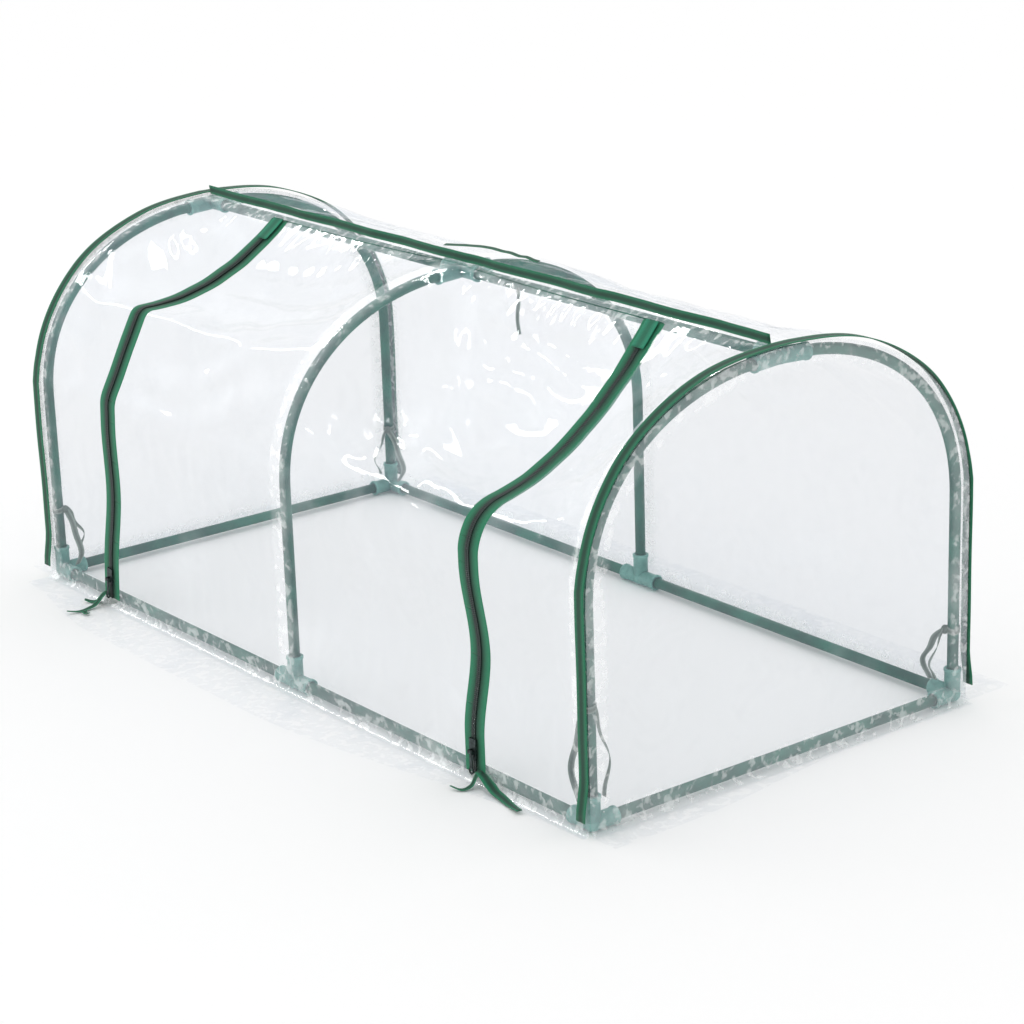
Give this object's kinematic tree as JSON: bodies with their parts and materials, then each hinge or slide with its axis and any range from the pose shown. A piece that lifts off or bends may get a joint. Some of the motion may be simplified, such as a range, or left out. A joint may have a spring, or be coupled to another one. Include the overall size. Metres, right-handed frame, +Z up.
{
  "type": "mini greenhouse",
  "caption": "Small tunnel greenhouse: hooped tube frame with a clear film cover, ground skirt and a zipped front that rolls up onto the roof.",
  "frame": {"origin": "on the ground under the middle of the ridge", "axes": "+X along the ridge, -Y towards the zipped front, +Z up"},
  "size_m": [1.3228, 0.76, 0.5237],
  "materials": {
    "frame_tube": "dark green powder coat, satin",
    "connector_plastic": "blue-green moulded plastic, satin",
    "clear_film": "clear flexible film, glossy",
    "edge_binding": "green woven edge binding",
    "zip_tape": "green woven zip tape with its coil",
    "tie_ribbon": "grey-green tie ribbon",
    "zip_metal": "dark lacquered zip slider and pull"
  },
  "bodies": {
    "cover_and_frame": {"front_left_corner_connector": "connector_plastic", "front_right_corner_connector": "connector_plastic", "front_middle_tee_connector": "connector_plastic", "back_left_corner_connector": "connector_plastic", "back_right_corner_connector": "connector_plastic", "back_middle_tee_connector": "connector_plastic", "left_ridge_connector": "connector_plastic", "middle_ridge_connector": "connector_plastic", "right_ridge_connector": "connector_plastic", "front_left_base_tube": "frame_tube", "back_left_base_tube": "frame_tube", "left_end_base_tube": "frame_tube", "left_ridge_tube": "frame_tube", "front_right_base_tube": "frame_tube", "back_right_base_tube": "frame_tube", "right_end_base_tube": "frame_tube", "right_ridge_tube": "frame_tube", "left_hoop_front_half": "frame_tube", "left_hoop_back_half": "frame_tube", "middle_hoop_front_half": "frame_tube", "middle_hoop_back_half": "frame_tube", "right_hoop_front_half": "frame_tube", "right_hoop_back_half": "frame_tube", "front_left_film": "clear_film", "front_right_film": "clear_film", "roof_and_back_film": "clear_film", "left_end_film": "clear_film", "right_end_film": "clear_film", "ridge_binding": "edge_binding", "left_arch_binding": "edge_binding", "right_arch_binding": "edge_binding", "left_zip_fixed_tape": "zip_tape", "right_zip_fixed_tape": "zip_tape", "left_zip_top_tab": "zip_tape", "right_zip_top_tab": "zip_tape", "door_roof_film": "clear_film", "door_roof_left_zip_tape": "zip_tape", "door_roof_right_zip_tape": "zip_tape", "front_left_corner_tie": "tie_ribbon", "front_right_corner_tie": "tie_ribbon", "back_left_corner_tie": "tie_ribbon", "back_right_corner_tie": "tie_ribbon", "outer_roll_up_strap": "tie_ribbon", "inner_roll_up_strap": "tie_ribbon"},
    "door_band_1": {"door_band_1": "clear_film"},
    "door_band_2": {"door_band_2": "clear_film"},
    "door_band_3": {"door_band_3": "clear_film"},
    "door_band_4": {"door_band_4": "clear_film"},
    "door_band_5": {"door_band_5": "clear_film"},
    "door_skirt": {"door_skirt": "clear_film"},
    "left_zip_slider": {"left_zip_slider": "zip_metal"},
    "left_zip_pull": {"left_zip_pull": "zip_metal"},
    "right_zip_slider": {"right_zip_slider": "zip_metal"},
    "right_zip_pull": {"right_zip_pull": "zip_metal"}
  },
  "joints": [
    {"name": "door_roll", "type": "hinge", "parent": "cover_and_frame", "child": "door_band_1", "pos_m": [0, -0.0628, 0.2792], "axis": [-1, 0, 0], "range_deg": [0, 90], "deforming": ["door_roof_film", "door_roof_left_zip_tape", "door_roof_right_zip_tape"]},
    {"name": "door_bend_1", "type": "hinge", "parent": "door_band_1", "child": "door_band_2", "pos_m": [0, -0.3006, 0.24172], "axis": [-1, 0, 0], "range_deg": [0, 66]},
    {"name": "door_bend_2", "type": "hinge", "parent": "door_band_2", "child": "door_band_3", "pos_m": [0, -0.3006, 0.18344], "axis": [-1, 0, 0], "range_deg": [0, 69]},
    {"name": "door_bend_3", "type": "hinge", "parent": "door_band_3", "child": "door_band_4", "pos_m": [0, -0.3006, 0.12516], "axis": [-1, 0, 0], "range_deg": [0, 72]},
    {"name": "door_bend_4", "type": "hinge", "parent": "door_band_4", "child": "door_band_5", "pos_m": [0, -0.3006, 0.06688], "axis": [-1, 0, 0], "range_deg": [0, 75]},
    {"name": "door_bend_5", "type": "hinge", "parent": "door_band_5", "child": "door_skirt", "pos_m": [0, -0.3006, 0.0086], "axis": [-1, 0, 0], "range_deg": [0, 18]},
    {"name": "left_zip_slide", "type": "slide", "parent": "cover_and_frame", "child": "left_zip_slider", "axis": [0.0948, 0, 0.9955], "range_m": [0, 0.24]},
    {"name": "left_pull_hinge", "type": "hinge", "parent": "left_zip_slider", "child": "left_zip_pull", "pos_m": [-0.43119, -0.3068, 0.04001], "axis": [-0.9955, 0, 0.0948], "range_deg": [0, 160]},
    {"name": "right_zip_slide", "type": "slide", "parent": "cover_and_frame", "child": "right_zip_slider", "axis": [0, 0, 1], "range_m": [0, 0.24]},
    {"name": "right_pull_hinge", "type": "hinge", "parent": "right_zip_slider", "child": "right_zip_pull", "pos_m": [0.392, -0.3068, 0.04], "axis": [-1, 0, 0], "range_deg": [0, 160]}
  ],
  "couplings": [
    {"joint": "door_bend_1", "follows": "door_roll", "ratio": 0.73333},
    {"joint": "door_bend_2", "follows": "door_roll", "ratio": 0.76667},
    {"joint": "door_bend_3", "follows": "door_roll", "ratio": 0.8},
    {"joint": "door_bend_4", "follows": "door_roll", "ratio": 0.83333},
    {"joint": "door_bend_5", "follows": "door_roll", "ratio": 0.2}
  ]
}
